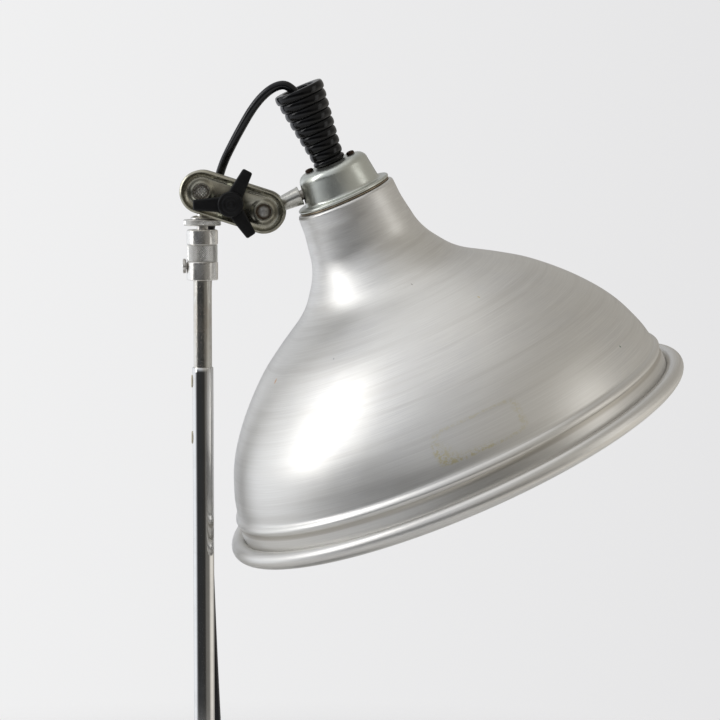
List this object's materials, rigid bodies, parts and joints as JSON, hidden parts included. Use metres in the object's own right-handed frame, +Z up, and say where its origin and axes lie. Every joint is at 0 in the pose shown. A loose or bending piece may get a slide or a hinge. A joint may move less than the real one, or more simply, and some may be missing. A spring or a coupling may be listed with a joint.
{
  "type": "reflector desk lamp",
  "caption": "Desk lamp with a spun metal bell shade and ribbed handle on a telescopic column, held by a ball clamp with a wing knob.",
  "frame": {"origin": "centre of the base's underside, on the column's axis, in the plane the lamp stands on", "axes": "+Z up the column, +X from the column towards the head, the clamp plates in the XZ plane"},
  "size_m": [0.4438, 0.3612, 0.6344],
  "materials": {
    "felt_pad": "dense dark felt",
    "cast_iron": "rough cast",
    "base_paint": "satin grey hammered paint, guessed",
    "chrome": "polished, fine scratches",
    "worn_chrome": "pitted, with rust freckles",
    "nickel_plate": "bright nickel plate, lightly worn",
    "clamp_steel": "olive-grey plated steel, mottled",
    "zinc_plate": "dull zinc plate, brown stains",
    "rusty_steel": "dark brown rust",
    "spun_aluminium": "spun satin, fine rings",
    "black_plastic": "satin black",
    "black_rubber": "glossy black rubber",
    "lead_pvc": "smooth black",
    "cream_nylon": "cream",
    "porcelain": "glazed white",
    "brass": "dull brass",
    "opal_glass": "white opal"
  },
  "bodies": {
    "stand": {"base_pad": "felt_pad", "base_weight": "cast_iron", "base_cover": "base_paint", "column_stud": "rusty_steel", "column_nut": "zinc_plate", "column_washer": "zinc_plate", "column_socket": "chrome", "outer_tube": "chrome", "friction_plug_upper": "cream_nylon", "friction_plug_lower": "cream_nylon", "lead_down": "lead_pvc", "lead_coil": "lead_pvc", "lead_tail": "lead_pvc", "coil_tie": "black_plastic", "plug_body": "black_plastic", "plug_sleeve": "black_rubber", "plug_pin_left": "brass", "plug_pin_right": "brass"},
    "mast": {"inner_tube": "worn_chrome", "lead_beside": "lead_pvc"},
    "swivel": {"coupling": "nickel_plate", "stand_ball": "nickel_plate", "lead_behind": "lead_pvc"},
    "link": {"clamp_plate_front": "clamp_steel", "clamp_plate_back": "clamp_steel", "clamp_bolt": "zinc_plate", "clamp_washer": "zinc_plate", "lead_over": "lead_pvc"},
    "arm": {"lamp_ball": "clamp_steel"},
    "head": {"stem_nut": "zinc_plate", "cap": "zinc_plate", "cap_screw_left": "rusty_steel", "cap_screw_right": "rusty_steel", "holder_bridge": "zinc_plate", "nipple": "brass", "neck_ring": "worn_chrome", "shade": "spun_aluminium", "shade_ring": "brass", "lampholder": "porcelain", "socket_shell": "brass", "centre_contact": "brass", "handle": "black_rubber", "inner_lead": "lead_pvc", "lead_loop": "lead_pvc"},
    "knob": {"wing_knob": "black_plastic"},
    "ring": {"lock_ring": "nickel_plate"},
    "screw": {"thumb_screw": "nickel_plate"},
    "bulb": {"bulb_base": "nickel_plate", "bulb_glass": "opal_glass"}
  },
  "joints": [
    {"name": "height_slide", "type": "slide", "parent": "stand", "child": "mast", "axis": [0, 0, 1], "range_m": [-0.052, 0.14], "deforming": ["lead_down"]},
    {"name": "column_swivel", "type": "hinge", "parent": "mast", "child": "swivel", "pos_m": [0, 0, 0.51], "axis": [0, 0, 1], "range_deg": [-90, 90], "deforming": ["lead_beside"]},
    {"name": "link_tilt", "type": "hinge", "parent": "swivel", "child": "link", "pos_m": [0, 0, 0.5594], "axis": [0, -1, 0], "range_deg": [0, 70], "deforming": ["lead_behind"]},
    {"name": "head_tilt", "type": "hinge", "parent": "link", "child": "arm", "pos_m": [0.04145, 0, 0.54621], "axis": [0, -1, 0], "range_deg": [-2, 60], "deforming": ["lead_over"]},
    {"name": "head_roll", "type": "hinge", "parent": "arm", "child": "head", "pos_m": [0.04145, 0, 0.54621], "axis": [0.9178, 0, 0.3971], "range_deg": [-45, 45], "deforming": ["lead_loop"]},
    {"name": "knob_turn", "type": "hinge", "parent": "link", "child": "knob", "pos_m": [0.01983, 0, 0.55131], "axis": [0, 1, 0], "continuous": true},
    {"name": "ring_turn", "type": "hinge", "parent": "swivel", "child": "ring", "pos_m": [0, 0, 0.5388], "axis": [0, 0, 1], "continuous": true},
    {"name": "screw_turn", "type": "hinge", "parent": "swivel", "child": "screw", "pos_m": [-0.0102, 0, 0.5096], "axis": [1, 0, 0], "continuous": true},
    {"name": "bulb_turn", "type": "hinge", "parent": "head", "child": "bulb", "pos_m": [0.09055, 0, 0.56746], "axis": [-0.3951, -0.1011, 0.9131], "continuous": true}
  ]
}
